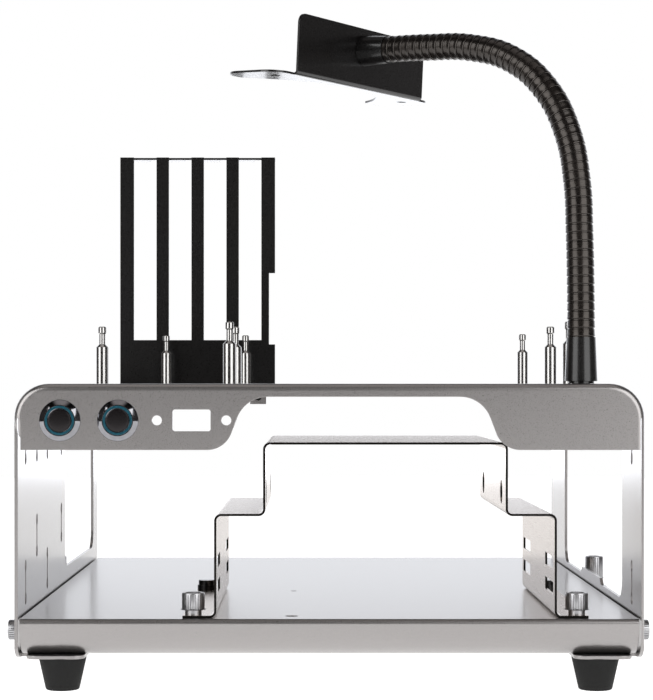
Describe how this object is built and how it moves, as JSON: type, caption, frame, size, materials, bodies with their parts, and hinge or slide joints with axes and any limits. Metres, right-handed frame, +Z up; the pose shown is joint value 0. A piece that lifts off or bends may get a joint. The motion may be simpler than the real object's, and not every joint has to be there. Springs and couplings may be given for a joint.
{
  "type": "open air computer test bench",
  "caption": "Open air computer test bench: folded silver table on rubber feet over a tray with a stepped drive cage, black slot bracket, board posts and a gooseneck fan arm.",
  "frame": {"origin": "centre of the bounding box in X and Y, on the floor under the feet", "axes": "+X to the right seen from the front with the buttons, +Y from the front to the back, +Z up"},
  "size_m": [0.295, 0.3276, 0.3032],
  "materials": {
    "silver_paint": "satin metallic",
    "cage_metal": "satin",
    "black_coat": "fine satin powder coat",
    "foot_rubber": "matte",
    "knurled_metal": "satin knurled",
    "bright_plate": "polished",
    "black_chrome": "polished dark",
    "blue_ring": "translucent",
    "black_button": "polished",
    "nut_metal": "satin",
    "block_plastic": "matte",
    "hose_cover": "satin"
  },
  "bodies": {
    "bench": {"top_frame": "silver_paint", "lower_tray": "silver_paint", "drive_cage": "cage_metal", "slot_bracket": "black_coat", "foot_front_left": "foot_rubber", "foot_front_right": "foot_rubber", "foot_rear_left": "foot_rubber", "foot_rear_right": "foot_rubber", "side_screw_front_left": "knurled_metal", "side_screw_front_right": "knurled_metal", "side_screw_rear_left": "knurled_metal", "side_screw_rear_right": "knurled_metal", "cage_screw_front_left": "knurled_metal", "cage_screw_front_right": "knurled_metal", "cage_screw_rear_left": "black_coat", "cage_screw_rear_right": "black_coat", "ear_screw_left": "knurled_metal", "ear_screw_right": "knurled_metal", "slot_screw_left": "black_coat", "slot_screw_right": "black_coat", "power_switch_body": "black_chrome", "power_ring": "blue_ring", "power_nut": "nut_metal", "power_terminals": "block_plastic", "reset_switch_body": "black_chrome", "reset_ring": "blue_ring", "reset_nut": "nut_metal", "reset_terminals": "block_plastic", "board_post_1": "bright_plate", "board_post_2": "bright_plate", "board_post_3": "bright_plate", "board_post_4": "bright_plate", "board_post_5": "bright_plate", "board_post_6": "bright_plate", "board_post_7": "bright_plate", "board_post_8": "bright_plate"},
    "power_button": {"power_button": "black_button"},
    "reset_button": {"reset_button": "black_button"},
    "arm_base": {"arm_foot": "black_coat", "arm_nut": "nut_metal", "hose_1": "hose_cover"},
    "arm_link_2": {"hose_2": "hose_cover"},
    "arm_link_3": {"hose_3": "hose_cover"},
    "arm_link_4": {"hose_4": "hose_cover"},
    "arm_link_5": {"hose_5": "hose_cover"},
    "arm_link_6": {"hose_6": "hose_cover"},
    "arm_link_7": {"hose_7": "hose_cover"},
    "arm_link_8": {"hose_8": "hose_cover"},
    "arm_tip": {"hose_9": "hose_cover", "arm_end": "black_coat", "fan_screw": "black_coat"},
    "fan_bracket": {"fan_bracket": "black_coat"}
  },
  "joints": [
    {"name": "power_press", "type": "slide", "parent": "bench", "child": "power_button", "axis": [0, 1, 0], "range_m": [0, 0.0015], "stiffness_N_per_m": 700},
    {"name": "reset_press", "type": "slide", "parent": "bench", "child": "reset_button", "axis": [0, 1, 0], "range_m": [0, 0.0015], "stiffness_N_per_m": 700},
    {"name": "arm_swivel", "type": "hinge", "parent": "bench", "child": "arm_base", "pos_m": [0.1115, -0.1412, 0.134], "axis": [0, 0, 1], "range_deg": [-75, 75]},
    {"name": "arm_bend_1", "type": "hinge", "parent": "arm_base", "child": "arm_link_2", "pos_m": [0.1113, -0.14106, 0.17755], "axis": [-0.5878, -0.809, 0], "range_deg": [-12, 6]},
    {"name": "arm_bend_2", "type": "hinge", "parent": "arm_link_2", "child": "arm_link_3", "pos_m": [0.11085, -0.14073, 0.20054], "axis": [-0.5878, -0.809, 0], "range_deg": [-12, 6]},
    {"name": "arm_bend_3", "type": "hinge", "parent": "arm_link_3", "child": "arm_link_4", "pos_m": [0.10985, -0.14, 0.22351], "axis": [-0.5878, -0.809, 0], "range_deg": [-12, 6]},
    {"name": "arm_bend_4", "type": "hinge", "parent": "arm_link_4", "child": "arm_link_5", "pos_m": [0.10592, -0.13715, 0.24592], "axis": [-0.5878, -0.809, 0], "range_deg": [-12, 6]},
    {"name": "arm_bend_5", "type": "hinge", "parent": "arm_link_5", "child": "arm_link_6", "pos_m": [0.09703, -0.13069, 0.26602], "axis": [-0.5878, -0.809, 0], "range_deg": [-12, 8]},
    {"name": "arm_bend_6", "type": "hinge", "parent": "arm_link_6", "child": "arm_link_7", "pos_m": [0.08298, -0.12048, 0.28085], "axis": [-0.5878, -0.809, 0], "range_deg": [-12, 8]},
    {"name": "arm_bend_7", "type": "hinge", "parent": "arm_link_7", "child": "arm_link_8", "pos_m": [0.06547, -0.10775, 0.28829], "axis": [-0.5878, -0.809, 0], "range_deg": [-12, 8]},
    {"name": "arm_bend_8", "type": "hinge", "parent": "arm_link_8", "child": "arm_tip", "pos_m": [0.04698, -0.09432, 0.29078], "axis": [-0.5878, -0.809, 0], "range_deg": [-12, 8]},
    {"name": "fan_roll", "type": "hinge", "parent": "arm_tip", "child": "fan_bracket", "pos_m": [0.01708, -0.0726, 0.29271], "axis": [-0.8079, 0.587, 0.0523], "range_deg": [-45, 45]}
  ],
  "couplings": [
    {"joint": "arm_bend_2", "follows": "arm_bend_1", "ratio": 1},
    {"joint": "arm_bend_3", "follows": "arm_bend_1", "ratio": 1},
    {"joint": "arm_bend_4", "follows": "arm_bend_1", "ratio": 1},
    {"joint": "arm_bend_6", "follows": "arm_bend_5", "ratio": 1},
    {"joint": "arm_bend_7", "follows": "arm_bend_5", "ratio": 1},
    {"joint": "arm_bend_8", "follows": "arm_bend_5", "ratio": 1}
  ]
}
